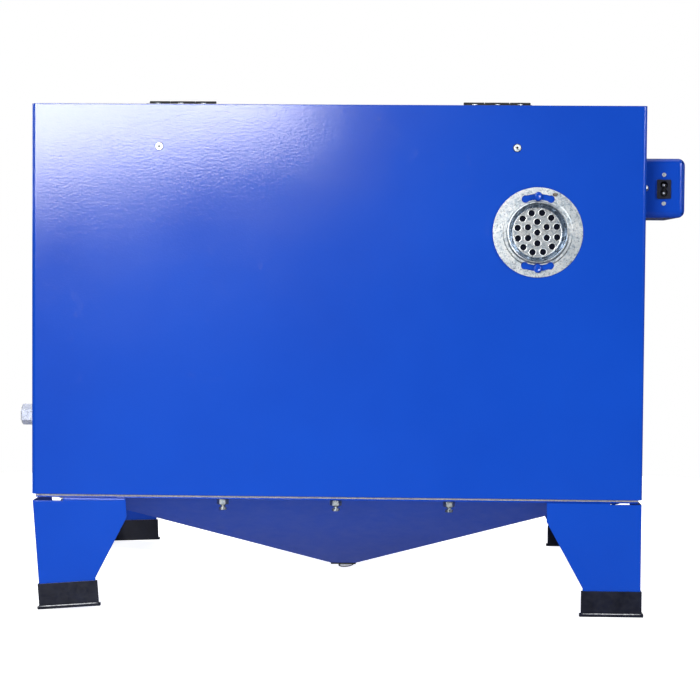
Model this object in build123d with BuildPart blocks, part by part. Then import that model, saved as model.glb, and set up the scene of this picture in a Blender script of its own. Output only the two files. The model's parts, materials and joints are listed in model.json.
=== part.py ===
from build123d import *
import os
from math import atan, cos, pi, radians, sin, tan

os.makedirs("parts", exist_ok=True)

# Bench-top sandblast cabinet. Millimetres, +Z up, the front faces -Y. Left and right are the operator's,
# so the left side is -X. "Depth" is measured forward from the outer face of the back panel.

# ---- driving dimensions -------------------------------------------------------------------------------
body_w = 590
body_d = 470
floor_z = 113
top_z = 490
front_z = 360
flat_depth = 237
rear_strip = 38.5
sheet = 1.5
bend_r = 4
return_d = 20

vent_proud = 4
front_proud = 33
rear_y = (body_d + front_proud - vent_proud) / 2
half_w = body_w / 2
mid_depth = body_d / 2
mid_y = rear_y - mid_depth
fit = 0.3

hinge_depth = 40
hinge_z = 493
hinge_x = 153.4
hinge_len = 65
barrel_r = 3
pin_r = 1.5

lid_gap = 0.8
lid_flange = 20
lid_front = 473
lid_lip = 22
slope = atan((top_z - front_z) / (lid_front - flat_depth))
rail_below = 5
seal_thick = 3.2

vent_x, vent_z = -191.9, 369.2
vent_r = 43
lamp_x, lamp_z = 171.5, 449.5

port_x, port_z = 130, 228
port_r = 74

inlet_x, inlet_z = -317, 413
box_rivets = [(52, 391), (158, 391)]
lead_depth, lead_z = 100, 425
air_depth, air_z = 155, 178
side_proud, air_proud = 43, 40.6
grate_z = 126


# ---- helpers ------------------------------------------------------------------------------------------
def y_of(depth):
    return rear_y - depth


def save(builder, name):
    builder.part.label = name
    export_step(builder.part, f"parts/{name}.step")


def block(x, depth, z, mode=Mode.ADD):
    """Box between two limits on each axis."""
    centre = ((x[0] + x[1]) / 2, y_of((depth[0] + depth[1]) / 2), (z[0] + z[1]) / 2)
    with Locations(centre):
        Box(abs(x[1] - x[0]), abs(depth[1] - depth[0]), abs(z[1] - z[0]), mode=mode)


def side_view(*points):
    """Closed outline in the YZ plane from (depth, height) points."""
    with BuildSketch(Plane.YZ, mode=Mode.PRIVATE) as shape:
        with BuildLine():
            Polyline(*[(y_of(d), z) for d, z in points], close=True)
        make_face()
    return shape.sketch


def prism(outline, x, mode=Mode.ADD):
    """Outline of the YZ plane, extruded between two values of X."""
    extrude(outline.moved(Location((x[0], 0, 0))), amount=x[1] - x[0], dir=(1, 0, 0), mode=mode)


def rod(centre, radius, length, axis, mode=Mode.ADD):
    """Cylinder centred on a point, along an axis given by letter."""
    turn = {"x": (0, 90, 0), "y": (90, 0, 0), "z": (0, 0, 0)}[axis]
    with Locations(Location(centre, turn)):
        Cylinder(radius, length, mode=mode)


def hexagon(centre, flats, length, axis, mode=Mode.ADD):
    """Hexagonal prism centred on a point, by its width across flats."""
    along = {"x": (1, 0, 0), "y": (0, 1, 0), "z": (0, 0, 1)}[axis]
    with BuildSketch(Plane(origin=centre, z_dir=along), mode=Mode.PRIVATE) as hexa:
        RegularPolygon(flats / 2, 6, major_radius=False)
    extrude(hexa.sketch, amount=length / 2, both=True, mode=mode)


def lid_line(depth, below):
    """Height of a surface that lies `below` under the lid's outer face."""
    if depth <= flat_depth - below * tan(slope / 2):
        return top_z - below
    return top_z - (depth - flat_depth) * tan(slope) - below / cos(slope)


def under_lid(first, last, below, thick):
    """Bent strip that follows the lid from one depth to another."""
    upper = flat_depth - below * tan(slope / 2)
    lower = flat_depth - (below + thick) * tan(slope / 2)
    return side_view(
        (first, lid_line(first, below)),
        (upper, top_z - below),
        (last, lid_line(last, below)),
        (last, lid_line(last, below + thick)),
        (lower, top_z - below - thick),
        (first, lid_line(first, below + thick)),
    )


def slope_plane(depth, below):
    """Plane on the sloped part of the lid, X across, its normal pointing out."""
    return Plane(
        origin=(0, y_of(depth), lid_line(depth, below)),
        x_dir=(1, 0, 0),
        z_dir=(0, -sin(slope), cos(slope)),
    )


stay_r, pivot_drop, peg_drop = 180, 6, 16


def round_hinge(angle_deg):
    """(depth, height) at the stay's radius, an angle below the lid as it lies closed."""
    angle = radians(angle_deg)
    return hinge_depth + stay_r * cos(angle), hinge_z - stay_r * sin(angle)


pivot_at = round_hinge(pivot_drop)
peg_at = round_hinge(peg_drop)


# ---- cabinet sheets -----------------------------------------------------------------------------------
def sheet_pan(outer_depth, inner_depth, height):
    """Upright panel with rounded corners and short side returns, seen from above as a shallow U."""
    outer_y, inner_y = y_of(outer_depth), y_of(inner_depth)
    sign = 1 if outer_y > inner_y else -1
    with BuildSketch(Plane.XY.offset(floor_z), mode=Mode.PRIVATE) as pan:
        with Locations((0, (outer_y + inner_y) / 2)):
            Rectangle(body_w, return_d)
        rounded = pan.vertices().group_by(Axis.Y)[-1 if sign > 0 else 0]
        fillet(rounded, bend_r)
        with BuildSketch(Plane.XY.offset(floor_z), mode=Mode.PRIVATE) as inside:
            with Locations((0, (outer_y + inner_y) / 2 - sign * sheet)):
                Rectangle(body_w - 2 * sheet, return_d)
            inner_corners = inside.vertices().group_by(Axis.Y)[-1 if sign > 0 else 0]
            fillet(inner_corners, bend_r - sheet)
        add(inside.sketch, mode=Mode.SUBTRACT)
    extrude(pan.sketch, amount=height, dir=(0, 0, 1))


strip_z = top_z - sheet
relief = 6
with BuildPart() as back_panel:
    sheet_pan(0, return_d, top_z - floor_z)
    block((-half_w + sheet, half_w - sheet), (0.4, rear_strip), (strip_z, top_z))
    for side in (-1, 1):
        block((side * (half_w - sheet - 0.5), side * half_w), (return_d - 1, rear_strip), (strip_z, top_z))
        block((side * (half_w + 1), side * (half_w - 3)), (bend_r, bend_r + relief), (floor_z, floor_z + relief),
              mode=Mode.SUBTRACT)
        rod((side * lamp_x, rear_y, lamp_z), 2.1, 6, "y", mode=Mode.SUBTRACT)
        rod((vent_x, rear_y, vent_z + side * 34), 2.6, 6, "y", mode=Mode.SUBTRACT)
    rod((vent_x, rear_y, vent_z), 30.5, 6, "y", mode=Mode.SUBTRACT)
save(back_panel, "back_panel")

side_first, side_last = return_d + 0.2, body_d - return_d - 0.2
lap = 14
for side, name in ((-1, "side_panel_left"), (1, "side_panel_right")):
    with BuildPart() as side_panel:
        outer, inner, lapped = side * half_w, side * (half_w - sheet), side * (half_w - 2 * sheet)
        profile = side_view(
            (side_first, floor_z), (side_last, floor_z), (side_last, lid_line(side_last, 3)),
            (flat_depth, top_z - 3), (rear_strip + 0.3, top_z - 3), (rear_strip + 0.3, strip_z - 0.3),
            (side_first, strip_z - 0.3),
        )
        prism(profile, (outer, inner))
        block((inner, lapped), (side_first - lap, side_first + 6), (floor_z + sheet + 0.2, 470))
        block((inner, lapped), (side_last - 6, side_last + lap), (floor_z + sheet + 0.2, 345))
        if side > 0:
            rod((outer, y_of(air_depth), air_z), 6.7, 8, "x", mode=Mode.SUBTRACT)
            rod((outer, y_of(peg_at[0]), peg_at[1]), 3.1, 8, "x", mode=Mode.SUBTRACT)
        else:
            rod((outer, y_of(lead_depth), lead_z), 5, 8, "x", mode=Mode.SUBTRACT)
            for rivet_depth, rivet_z in box_rivets:
                rod((outer, y_of(rivet_depth), rivet_z), 2.1, 8, "x", mode=Mode.SUBTRACT)
    save(side_panel, name)

front_top = lid_line(body_d, 3)
with BuildPart() as front_panel:
    sheet_pan(body_d, body_d - return_d, front_top - floor_z)
    trim = side_view((body_d + 5, 500), (body_d - 40, 500), (body_d - 40, lid_line(body_d - 40, 3)),
                     (body_d + 5, lid_line(body_d + 5, 3)))
    prism(trim, (-half_w - 1, half_w + 1), mode=Mode.SUBTRACT)
    for side in (-1, 1):
        rod((side * port_x, y_of(body_d), port_z), port_r + fit, 20, "y", mode=Mode.SUBTRACT)
save(front_panel, "front_panel")

# Bolted stack under the cabinet, from the top: floor frame, gasket, hopper flange, leg flange.
frame_top = floor_z + sheet
gasket_z = floor_z - 2
flange_z = gasket_z - sheet
leg_flange_z = flange_z - sheet
ring_x, ring_edge = 291.5, 4
hole_x, hole_edge = 260, 24
bolt_x, bolt_edge = 274, 13
bolt_r = 3
rear_bolt_xs = (-228, -110, 0, 110, 228)
side_bolt_depths = (62, mid_depth, body_d - 62)
bolt_points = [(x, y_of(d)) for d in (bolt_edge, body_d - bolt_edge) for x in rear_bolt_xs]
bolt_points += [(s * bolt_x, y_of(d)) for s in (-1, 1) for d in side_bolt_depths]


def flat_ring(x_outer, edge_outer, x_inner, edge_inner, low, high):
    """Flat rectangular ring with the holes of the bolted stack."""
    block((-x_outer, x_outer), (edge_outer, body_d - edge_outer), (low, high))
    block((-x_inner, x_inner), (edge_inner, body_d - edge_inner), (low - 1, high + 1), mode=Mode.SUBTRACT)
    for x, y in bolt_points:
        rod((x, y, (low + high) / 2), bolt_r + 0.2, 6, "z", mode=Mode.SUBTRACT)


with BuildPart() as floor_frame:
    flat_ring(half_w - sheet, sheet, hole_x - 2, hole_edge + 2, floor_z, frame_top)
    for side in (-1, 1):
        for depth in (0, body_d):
            corner = (side * half_w, y_of(depth), floor_z)
            with Locations(corner):
                Box(2 * bend_r + 2, 2 * bend_r + 2, 8, mode=Mode.SUBTRACT)
save(floor_frame, "floor_frame")

with BuildPart() as hopper_gasket:
    flat_ring(ring_x, ring_edge, hole_x, hole_edge, gasket_z, floor_z)
save(hopper_gasket, "hopper_gasket")

with BuildPart() as hopper_flange:
    flat_ring(ring_x, ring_edge, hole_x, hole_edge, flange_z, gasket_z)
save(hopper_flange, "hopper_flange")

with BuildPart() as frame_bolts:
    for x, y in bolt_points:
        rod((x, y, (102.5 + frame_top) / 2), bolt_r, frame_top - 102.5, "z")
        rod((x, y, frame_top + 1.5), 5.4, 3, "z")
        rod((x, y, 101.5), 2, 3, "z")
        rod((x, y, 99.4), 3.8, 2.4, "z")
save(frame_bolts, "frame_bolts")

with BuildPart() as frame_nuts:
    for x, y in bolt_points:
        at_leg = abs(x) > 200 and abs(y - mid_y) > 100
        seat = leg_flange_z if at_leg else flange_z
        rod((x, y, seat - 0.6), 6.2, 1.2, "z")
        hexagon((x, y, seat - 1.2 - 2.4), 10, 4.8, "z")
        rod((x, y, seat - 3), bolt_r + 0.02, 8, "z", mode=Mode.SUBTRACT)
save(frame_nuts, "frame_nuts")

rail_x = half_w - bend_r - 0.2
with BuildPart() as wall_ledges:
    # rear ledge, hung from the strip behind the lid
    rear_rail = side_view((36.5, strip_z), (38, strip_z), (38, top_z - rail_below), (56, top_z - rail_below),
                          (56, top_z - rail_below - sheet), (36.5, top_z - rail_below - sheet))
    prism(rear_rail, (-rail_x, rail_x))
    for side in (-1, 1):
        prism(under_lid(56.3, 449, rail_below, sheet), (side * (half_w - sheet), side * (half_w - sheet - 18)))
    front_rail = side_view(
        (450, lid_line(450, rail_below)), (468.5, lid_line(468.5, rail_below)),
        (468.5, lid_line(468.5, rail_below + sheet)), (450, lid_line(450, rail_below + sheet)),
    )
    prism(front_rail, (-rail_x, rail_x))
    # angles that carry the grate
    for side in (-1, 1):
        wall = side * (half_w - 2 * sheet - 0.2)
        block((wall, wall - side * 20), (60, 410), (grate_z - sheet, grate_z))
        block((wall, wall - side * sheet), (60, 410), (frame_top + 4, grate_z))
save(wall_ledges, "wall_ledges")

# ---- hopper: four sloping sheets that meet along its corner edges ---------------------------------------
outlet_x, outlet_z = 13.5, 14.5
hopper_x, hopper_y = 262, mid_depth - 22
outlet_y = outlet_x * hopper_y / hopper_x
fall = flange_z - outlet_z


def pyramid(inset_x, inset_y, mode):
    """Frustum from the outlet up to the flange, made smaller by an inset on each side."""
    with BuildSketch(Plane.XY.offset(flange_z), mode=Mode.PRIVATE) as large:
        with Locations((0, mid_y)):
            Rectangle(2 * (hopper_x - inset_x), 2 * (hopper_y - inset_y))
    with BuildSketch(Plane.XY.offset(outlet_z), mode=Mode.PRIVATE) as small:
        with Locations((0, mid_y)):
            Rectangle(2 * (outlet_x - inset_x), 2 * (outlet_y - inset_y))
    loft([small.sketch, large.sketch], ruled=True, mode=mode)


# the drain points down and to the back, so its axis is given by a direction
collar_r, collar_bore = 8.4, 7.2
drain_end = Vector(-3, mid_y + 3.2, 11.3)
drain_axis = Vector(-0.119, 0.435, -0.893).normalized()


def drain_rod(first, last, radius, mode=Mode.ADD):
    """Cylinder on the drain's axis between two distances inward from its open end."""
    with BuildSketch(Plane(origin=drain_end - drain_axis * last, z_dir=drain_axis), mode=Mode.PRIVATE) as disc:
        Circle(radius)
    extrude(disc.sketch, amount=last - first, mode=mode)


with BuildPart() as hopper:
    pyramid(0, 0, Mode.ADD)
    pyramid(sheet / sin(atan(fall / (hopper_x - outlet_x))), sheet / sin(atan(fall / (hopper_y - outlet_y))),
            Mode.SUBTRACT)
    for side in (-1, 1):
        split(bisect_by=Plane(origin=(0, mid_y, 0), x_dir=(0, 0, 1), z_dir=(hopper_y, side * hopper_x, 0)),
              keep=Keep.BOTH)
    drain_rod(-10, 30, collar_r + 0.1, mode=Mode.SUBTRACT)
save(hopper, "hopper")

with BuildPart() as drain_collar:
    with Locations((0, mid_y, outlet_z - sheet / 2)):
        Box(2 * outlet_x, 2 * outlet_y, sheet)
    drain_rod(0, 12, collar_r)
    drain_rod(-10, 30, collar_bore, mode=Mode.SUBTRACT)
save(drain_collar, "drain_collar")

plug_drop = 6
with BuildPart() as drain_plug:
    drain_rod(0.4, 9, collar_bore - fit)
    drain_rod(-0.5, 1.2, 2.2)
save(drain_plug, "drain_plug")

# ---- legs: folded from sheet, each bolted under the hopper's flange -------------------------------------
leg_x = 294.7
leg_in = 1.5
leg_top, leg_knee, leg_low = leg_flange_z + sheet, 91, 27
leg_wide, leg_narrow = 91, 55.7
tab = (30, 91)
tab_depth = 20.5
shoe_h, shoe_t, lip_h, lip_out = 24.6, 1, 3, 1.6
back_right_lean, front_right_lean = 8.4, 4


def lean_in(lean, z):
    """How far a leaning leg has moved inward at a height; its top stays in place."""
    return lean * (1 - z / leg_top)


def leg_face(lean, slanted):
    """Outline of a leg's face as (inset, height); the face across a leaning leg is cut square to the leg."""
    tilt = atan(lean / leg_top)
    bottom = shoe_t if lean == 0 else (shoe_t + lip_out) * sin(tilt) + shoe_t * cos(tilt) + 0.15
    notch = leg_flange_z + (0.4 if lean == 0 else -1.5)
    rise = leg_narrow * tan(tilt) if slanted else 0
    return [(0, bottom), (0, notch), (tab[0], notch), (tab[0], leg_top), (leg_wide, leg_top), (leg_wide, leg_knee),
            (leg_narrow, leg_low + rise), (leg_narrow, bottom + rise)]


def leg(side, end, lean):
    """L-shaped leg at a corner: side is the sign of X, end is +1 at the back and -1 at the front."""
    corner_y = mid_y + end * (mid_depth - leg_in)

    def corner_x(z):
        return side * (leg_x - lean_in(lean, z))

    across = Face(Wire.make_polygon(
        [(corner_x(z) - side * inset, corner_y, z) for inset, z in leg_face(lean, True)]))
    along = Face(Wire.make_polygon(
        [(corner_x(z), corner_y - end * inset, z) for inset, z in leg_face(lean, False)]))
    with BuildPart() as body:
        extrude(across, amount=sheet, dir=(0, -end, 0))
        extrude(along, amount=sheet, dir=(-side, 0, 0))
        outer_corner = [e for e in body.edges() if e.length > 80 and all(
            abs(v.X - corner_x(v.Z)) < 0.01 and abs(v.Y - corner_y) < 0.01 for v in e.vertices())]
        fillet(outer_corner, 1.4)
        far_y = corner_y - end * tab_depth
        for x, y in (
            ((side * (leg_x - tab[0]), side * (leg_x - tab[1])), (corner_y, far_y)),
            ((side * (leg_x - 0.2), side * (leg_x - tab_depth - 8)), (corner_y - end * tab[0], corner_y - end * tab[1])),
        ):
            with Locations(((x[0] + x[1]) / 2, (y[0] + y[1]) / 2, leg_flange_z + sheet / 2)):
                Box(abs(x[1] - x[0]), abs(y[1] - y[0]), sheet)
        bends = [e for e in body.edges() if e.length > 50 and all(abs(v.Z - leg_top) < 0.01 for v in e.vertices())
                 and abs(e.center().Y - corner_y) < 0.01]
        fillet(bends, 1.3 if lean else 1)
        for x, y in bolt_points:
            if x * side > 200 and (y - mid_y) * end > 100:
                rod((x, y, leg_flange_z), bolt_r + 0.2, 10, "z", mode=Mode.SUBTRACT)
    return body


def shoe(side, end, lean):
    """Plastic cover on the foot of a leg, with a flared lip at the floor; it tilts with a leaning leg."""
    corner = (side * (leg_x + shoe_t), mid_y + end * (mid_depth - leg_in + shoe_t))
    size = leg_narrow + 2 * shoe_t + 0.4

    def inset_box(x, y, low, high, mode):
        """Box from distances inward of the corner."""
        with Locations((corner[0] - side * sum(x) / 2, corner[1] - end * sum(y) / 2, (low + high) / 2)):
            Box(x[1] - x[0], y[1] - y[0], high - low, mode=mode)

    wall = 2 * shoe_t + sheet + 0.2
    slot = (shoe_t - 0.05, shoe_t + sheet + 0.05)
    along_slot = (shoe_t - 0.05, size - shoe_t)
    with BuildPart() as cover:
        inset_box((0, size), (0, size), 0, shoe_h, Mode.ADD)
        inset_box((-lip_out, size + lip_out), (-lip_out, size + lip_out), 0, lip_h, Mode.ADD)
        inset_box((wall, size + 20), (wall, size + 20), -1, shoe_h + 1, Mode.SUBTRACT)
        inset_box(along_slot, slot, shoe_t, shoe_h + 1, Mode.SUBTRACT)
        inset_box(slot, along_slot, shoe_t, shoe_h + 1, Mode.SUBTRACT)
    if lean == 0:
        return cover.part
    tilt = atan(lean / leg_top)
    pivot = Axis((corner[0] + side * lip_out, 0, 0), (0, 1, 0))
    shift = lean - (shoe_t + lip_out) * (1 / cos(tilt) - 1)
    return Pos(-side * shift, 0, 0) * cover.part.rotate(pivot, side * tilt * 180 / pi)


shoes = []
for end, end_name in ((1, "back"), (-1, "front")):
    for side, side_name in ((-1, "left"), (1, "right")):
        lean = 0 if side < 0 else back_right_lean if end > 0 else front_right_lean
        save(leg(side, end, lean), f"leg_{end_name}_{side_name}")
        shoes.append(shoe(side, end, lean))
with BuildPart() as foot_covers:
    add(shoes)
save(foot_covers, "foot_covers")

# ---- vent: bayonet cover that turns on two studs --------------------------------------------------------
vent_centre = (vent_x, rear_y, vent_z)
vent_axis = Axis(vent_centre, (0, 1, 0))
slot_r, slot_half, slot_arc = 34, 2.8, 21
stud_hole = 4.3


def spin(*points, mode=Mode.ADD):
    """Solid of revolution about the vent's axis from (radius, outward) points."""
    with BuildSketch(Plane(origin=vent_centre), mode=Mode.PRIVATE) as half:
        with BuildLine():
            Polyline(*points, close=True)
        make_face()
    revolve(half.sketch, axis=vent_axis, mode=mode)


cup_depth = 7
with BuildPart() as vent_cover:
    spin((vent_r, 0.3), (vent_r, 1.3), (33.4, 1.3), (32.6, 1.8), (30.2, 1.8), (29.7, 3), (29, 3.7), (28.4, 3.8),
         (27.9, 3.5), (25.6, -4.5), (24.6, -5.6), (24.2, -cup_depth), (25.4, -cup_depth), (26.6, -4.6),
         (28.4, 2.6), (28.8, 0.3))
    face_plane = Plane(origin=(vent_x, rear_y + 4, vent_z), x_dir=(1, 0, 0), z_dir=(0, -1, 0))
    for middle in (90, 270):
        with BuildSketch(face_plane, mode=Mode.PRIVATE) as slot:
            with BuildLine(mode=Mode.PRIVATE) as path:
                CenterArc((0, 0), slot_r, middle - slot_arc, 2 * slot_arc)
            SlotArc(path.wire(), 2 * slot_half)
            for angle, radius in ((middle - slot_arc, 3.6), (middle, stud_hole), (middle + slot_arc, 3.6)):
                with Locations((slot_r * cos(radians(angle)), slot_r * sin(radians(angle)))):
                    Circle(radius)
        extrude(slot.sketch, amount=6, dir=(0, -1, 0), mode=Mode.SUBTRACT)
save(vent_cover, "vent_cover")

with BuildPart() as vent_strainer:
    spin((0, -cup_depth - 1), (25.4, -cup_depth - 1), (25.4, -cup_depth), (0, -cup_depth))
    for radius, count, first in ((0, 1, 0), (10.3, 6, 31), (19.4, 12, 17)):
        for k in range(count):
            angle = radians(first + 360 * k / count)
            rod((vent_x - radius * cos(angle), rear_y - cup_depth, vent_z + radius * sin(angle)), 3, 6, "y",
                mode=Mode.SUBTRACT)
save(vent_strainer, "vent_strainer")

with BuildPart() as vent_studs:
    for side in (-1, 1):
        rod((vent_x, rear_y - 1.6, vent_z + side * slot_r), 2.5, 7, "y")
        rod((vent_x, rear_y + 2.9, vent_z + side * slot_r), 3.7, 1.8, "y")
        hexagon((vent_x, y_of(sheet + 1.5), vent_z + side * slot_r), 8, 3, "y")
save(vent_studs, "vent_studs")

baffle_w, baffle_h = 48, 52
with BuildPart() as vent_baffle:
    block((vent_x - baffle_w, vent_x + baffle_w), (sheet, 30), (vent_z - baffle_h, vent_z + baffle_h))
    block((vent_x - baffle_w + 1.2, vent_x + baffle_w - 1.2), (0, 28.8),
          (vent_z - baffle_h - 1, vent_z + baffle_h - 1.2), mode=Mode.SUBTRACT)
save(vent_baffle, "vent_baffle")

with BuildPart() as vent_filter:
    block((vent_x - baffle_w + 1.5, vent_x + baffle_w - 1.5), (9.5, 21.5), (vent_z - 46, vent_z + 46))
save(vent_filter, "vent_filter")

# ---- lid ------------------------------------------------------------------------------------------------
lid_rear = hinge_depth + 1.5
lid_x = half_w + lid_gap + sheet
lip_z = lid_line(lid_front, 0) - lid_lip
pane_depth = 350
window_x, window_len = 470, 190
with BuildPart() as lid:
    outside = side_view(
        (lid_rear, top_z), (flat_depth, top_z), (lid_front, lid_line(lid_front, 0)), (lid_front, lip_z),
        (lid_front - 8, lip_z), (flat_depth - lid_flange * tan(slope / 2), top_z - lid_flange),
        (lid_rear, top_z - lid_flange),
    )
    prism(outside, (-lid_x, lid_x))
    inside = side_view(
        (lid_rear - 5, top_z - sheet), (flat_depth - sheet * tan(slope / 2), top_z - sheet),
        (lid_front - sheet, lid_line(lid_front - sheet, sheet)), (lid_front - sheet, 250), (lid_rear - 5, 250),
    )
    prism(inside, (-lid_x + sheet, lid_x - sheet), mode=Mode.SUBTRACT)
    with BuildSketch(slope_plane(pane_depth, -4)) as window_hole:
        RectangleRounded(window_x, window_len, 14)
    extrude(amount=-12, mode=Mode.SUBTRACT)
save(lid, "lid")

ring_in = 1
with BuildPart() as window_seal:
    with BuildSketch(slope_plane(pane_depth, sheet)):
        RectangleRounded(window_x + 30, window_len + 25, 6)
        RectangleRounded(window_x + 2 * ring_in, window_len + 2 * ring_in, 14, mode=Mode.SUBTRACT)
    extrude(amount=-1.5)
save(window_seal, "window_seal")

with BuildPart() as window:
    with BuildSketch(slope_plane(pane_depth, 3)):
        RectangleRounded(window_x + 30, window_len + 25, 6)
    extrude(amount=-3)
save(window, "window")

with BuildPart() as window_frame:
    with BuildSketch(slope_plane(pane_depth, 6)):
        RectangleRounded(window_x + 36, window_len + 29, 8)
        RectangleRounded(window_x - 4, window_len - 4, 14, mode=Mode.SUBTRACT)
    extrude(amount=-1.5)
save(window_frame, "window_frame")

screw_xs = [-200, -100, 0, 100, 200]
leaf_screws = (-22, 0, 22)
with BuildPart() as lid_screws:
    for across, along in [(x, s * 101) for x in screw_xs for s in (-1, 1)] + [(s * 242, 0) for s in (-1, 1)]:
        spot = slope_plane(pane_depth, -0.8)
        with Locations(spot * Location((across, along, 0))):
            Cylinder(3.6, 1.6)
    for side in (-1, 1):
        for shift in leaf_screws:
            rod((side * hinge_x + shift, y_of(57), top_z + sheet + 0.6), 2.6, 1.2, "z")
save(lid_screws, "lid_screws")

seal_x = half_w - 6
with BuildPart() as lid_seal:
    for side in (-1, 1):
        prism(under_lid(42.5, 466, sheet, seal_thick), (side * seal_x, side * (seal_x - 12)))
    prism(side_view((42.5, strip_z), (54.5, strip_z), (54.5, strip_z - seal_thick), (42.5, strip_z - seal_thick)),
          (-seal_x, seal_x))
    front_strip = side_view(
        (454, lid_line(454, sheet)), (466, lid_line(466, sheet)),
        (466, lid_line(466, sheet + seal_thick)), (454, lid_line(454, sheet + seal_thick)),
    )
    prism(front_strip, (-seal_x, seal_x))
save(lid_seal, "lid_seal")

# ---- hinges: three knuckles each, the middle one on the lid ----------------------------------------------
knuckle_gap = 0.5
middle_len = 24
outer_len = (hinge_len - middle_len) / 2 - knuckle_gap
outer_at = (hinge_len - outer_len) / 2
leaf_reach = 26


def knuckle(x, length):
    rod((x, y_of(hinge_depth), hinge_z), barrel_r, length, "x")


def pin_bore(x):
    rod((x, y_of(hinge_depth), hinge_z), pin_r + 0.05, hinge_len + 4, "x", mode=Mode.SUBTRACT)


with BuildPart() as hinge_bases:
    for side in (-1, 1):
        x = side * hinge_x
        block((x - hinge_len / 2, x + hinge_len / 2), (hinge_depth - leaf_reach, 36), (top_z, top_z + sheet))
        for shift in (-outer_at, outer_at):
            block((x + shift - outer_len / 2, x + shift + outer_len / 2), (35, hinge_depth), (top_z, top_z + sheet))
            knuckle(x + shift, outer_len)
        pin_bore(x)
save(hinge_bases, "hinge_bases")

with BuildPart() as hinge_leaves:
    for side in (-1, 1):
        x = side * hinge_x
        block((x - hinge_len / 2, x + hinge_len / 2), (44, hinge_depth + leaf_reach), (top_z, top_z + sheet))
        block((x - middle_len / 2, x + middle_len / 2), (hinge_depth, 45), (top_z, top_z + sheet))
        knuckle(x, middle_len)
        pin_bore(x)
save(hinge_leaves, "hinge_leaves")

with BuildPart() as hinge_pins:
    for side in (-1, 1):
        rod((side * hinge_x, y_of(hinge_depth), hinge_z), pin_r, hinge_len, "x")
save(hinge_pins, "hinge_pins")

# ---- lid stay: the lid pivot and the wall peg are equally far from the hinge, so the bar turns half -------
open_deg = 70
stay_bar = (269, 271.5)
stay_half = 8
shut_reach = 2 * stay_r * sin(radians(peg_drop - pivot_drop) / 2)
open_reach = 2 * stay_r * sin(radians(peg_drop - pivot_drop + open_deg) / 2)
stay_plane = Plane(
    origin=(0, y_of(pivot_at[0]), pivot_at[1]),
    x_dir=(0, pivot_at[0] - peg_at[0], peg_at[1] - pivot_at[1]),
    z_dir=(1, 0, 0),
)
with BuildPart() as lid_stay:
    with BuildSketch(stay_plane.offset(stay_bar[0])):
        with Locations((open_reach / 2, 0)):
            SlotOverall(open_reach + 2 * stay_half, 2 * stay_half)
        Circle(3.3, mode=Mode.SUBTRACT)
        with Locations(((shut_reach + open_reach) / 2, 0)):
            SlotOverall(open_reach - shut_reach + 6.6, 6.6, mode=Mode.SUBTRACT)
    extrude(amount=stay_bar[1] - stay_bar[0])
save(lid_stay, "lid_stay")

with BuildPart() as stay_bracket:
    block((272.3, 273.8), (pivot_at[0] - 9, pivot_at[0] + 9), (pivot_at[1] - 6, strip_z))
    block((265, 273.8), (pivot_at[0] - 9, pivot_at[0] + 9), (strip_z - 1.2, strip_z))
    rod((270.6, y_of(pivot_at[0]), pivot_at[1]), 3, 5.4, "x")
    rod((267.6, y_of(pivot_at[0]), pivot_at[1]), 5, 1.4, "x")
save(stay_bracket, "stay_bracket")

with BuildPart() as stay_peg:
    rod(((half_w + 266) / 2, y_of(peg_at[0]), peg_at[1]), 3, half_w - 266, "x")
    rod((266.9, y_of(peg_at[0]), peg_at[1]), 5.5, 2.4, "x")
    rod((half_w - sheet - 4, y_of(peg_at[0]), peg_at[1]), 5.5, 8, "x")
save(stay_peg, "stay_peg")

# ---- draw latches: the lever stands part open and the wire bail is clear of its keeper --------------------
latch_x = 250
latch_pivot = (body_d + 8, 318)
lever_open = 20
bail_drop, bail_len = 10, 46
bail_ratio = -1.3
wire_r = 1.5
keeper_z = latch_pivot[1] - bail_drop + bail_len - wire_r - 0.5


def latch_turn(angle_deg, centre):
    """Turns about X so that a lever's lower end swings away from the cabinet."""
    pivot_y, pivot_z = y_of(centre[0]), centre[1]
    return Location((0, pivot_y, pivot_z)) * Location((0, 0, 0), (-angle_deg, 0, 0)) * Location(
        (0, -pivot_y, -pivot_z))


with BuildPart() as latch_bases:
    for side in (-1, 1):
        x = side * latch_x
        low, high = 266, 328
        block((x - 12, x + 12), (body_d, body_d + sheet), (low, high))
        for cheek in (-1, 1):
            inner_x, outer_x = x + cheek * 10, x + cheek * 11.5
            block((inner_x, outer_x), (body_d, latch_pivot[0]), (latch_pivot[1] - 5, latch_pivot[1] + 5))
            rod(((inner_x + outer_x) / 2, y_of(latch_pivot[0]), latch_pivot[1]), 5, 1.5, "x")
        rod((x, y_of(latch_pivot[0]), latch_pivot[1]), 2, 24, "x")
        for rivet_z in (low + 6, low + 30):
            rod((x, y_of(body_d + 2), rivet_z), 2.4, 1.6, "y")
save(latch_bases, "latch_bases")

with BuildPart() as latch_keepers:
    for side in (-1, 1):
        x = side * latch_x
        block((x - 10, x + 10), (lid_front, lid_front + sheet), (lip_z + 1, keeper_z + 6))
        block((x - 10, x + 10), (lid_front, body_d + 11), (keeper_z - sheet, keeper_z))
save(latch_keepers, "latch_keepers")


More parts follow.
